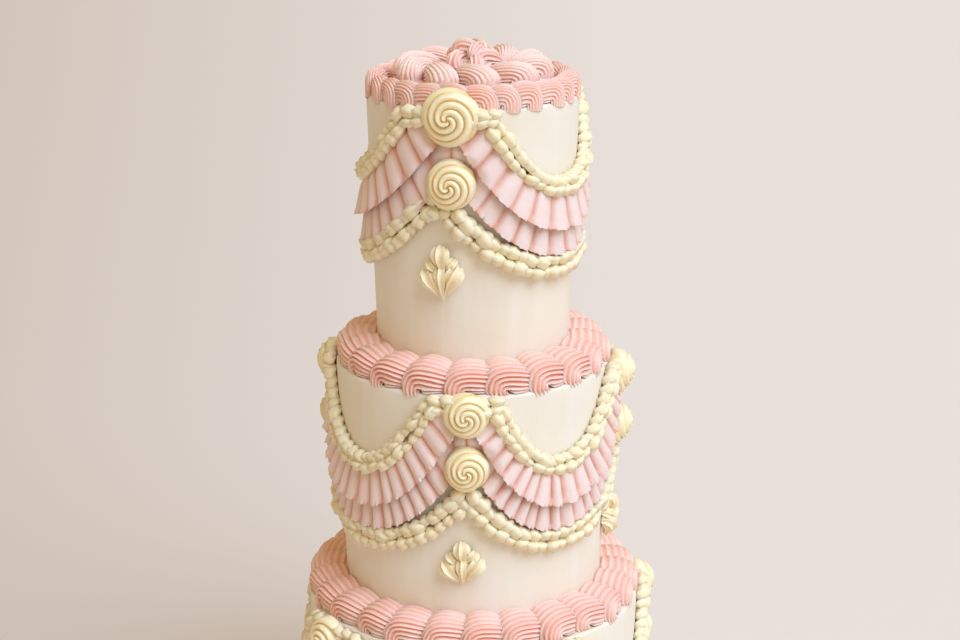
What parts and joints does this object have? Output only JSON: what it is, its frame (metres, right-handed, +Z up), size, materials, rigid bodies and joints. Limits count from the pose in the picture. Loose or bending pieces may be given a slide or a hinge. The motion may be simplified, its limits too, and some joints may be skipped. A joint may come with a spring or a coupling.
{
  "type": "tiered wedding cake",
  "caption": "Tiered buttercream wedding cake on a round board, with pleated swags, piped ropes, rosettes, fleur drops, shell borders and a crown of piped swirls.",
  "frame": {"origin": "centre of the board's underside, on the surface that the cake stands on", "axes": "+Z up through the tiers; the front, with the facing rosettes and drops, looks along -Y"},
  "size_m": [0.304, 0.304, 0.5133],
  "materials": {
    "wall_icing": "smoothed ivory buttercream, soft satin",
    "pink_shells": "salmon pink buttercream, fine piped ridges, soft satin",
    "ruffle_icing": "dusty pink buttercream, thin pleats, soft satin",
    "cream_piping": "pale butter yellow buttercream, piped, soft satin",
    "board": "white covered cake board, satin"
  },
  "bodies": {
    "root": {"board": "board", "tier_bottom": "wall_icing", "tier_middle": "wall_icing", "tier_top": "wall_icing", "base_border_bottom": "pink_shells", "base_border_middle": "pink_shells", "base_border_top": "pink_shells", "rim_border": "pink_shells", "crown_of_shells": "pink_shells", "centre_swirl": "pink_shells", "upper_ruffle_bottom": "ruffle_icing", "upper_ruffle_middle": "ruffle_icing", "upper_ruffle_top": "ruffle_icing", "lower_ruffle_bottom": "ruffle_icing", "lower_ruffle_middle": "ruffle_icing", "lower_ruffle_top": "ruffle_icing", "upper_rope_bottom": "cream_piping", "upper_rope_middle": "cream_piping", "upper_rope_top": "cream_piping", "lower_rope_bottom": "cream_piping", "lower_rope_middle": "cream_piping", "lower_rope_top": "cream_piping", "upper_rosette_bottom_1": "cream_piping", "upper_rosette_bottom_2": "cream_piping", "upper_rosette_bottom_3": "cream_piping", "upper_rosette_bottom_4": "cream_piping", "upper_rosette_bottom_5": "cream_piping", "lower_rosette_bottom_1": "cream_piping", "lower_rosette_bottom_2": "cream_piping", "lower_rosette_bottom_3": "cream_piping", "lower_rosette_bottom_4": "cream_piping", "lower_rosette_bottom_5": "cream_piping", "upper_rosette_middle_1": "cream_piping", "upper_rosette_middle_2": "cream_piping", "upper_rosette_middle_3": "cream_piping", "upper_rosette_middle_4": "cream_piping", "lower_rosette_middle_1": "cream_piping", "lower_rosette_middle_2": "cream_piping", "lower_rosette_middle_3": "cream_piping", "lower_rosette_middle_4": "cream_piping", "upper_rosette_top_1": "cream_piping", "upper_rosette_top_2": "cream_piping", "upper_rosette_top_3": "cream_piping", "lower_rosette_top_1": "cream_piping", "lower_rosette_top_2": "cream_piping", "lower_rosette_top_3": "cream_piping", "fleur_bottom_1": "cream_piping", "fleur_bottom_2": "cream_piping", "fleur_bottom_3": "cream_piping", "fleur_bottom_4": "cream_piping", "fleur_bottom_5": "cream_piping", "fleur_middle_1": "cream_piping", "fleur_middle_2": "cream_piping", "fleur_middle_3": "cream_piping", "fleur_middle_4": "cream_piping", "fleur_top_1": "cream_piping", "fleur_top_2": "cream_piping", "fleur_top_3": "cream_piping"}
  },
  "joints": []
}
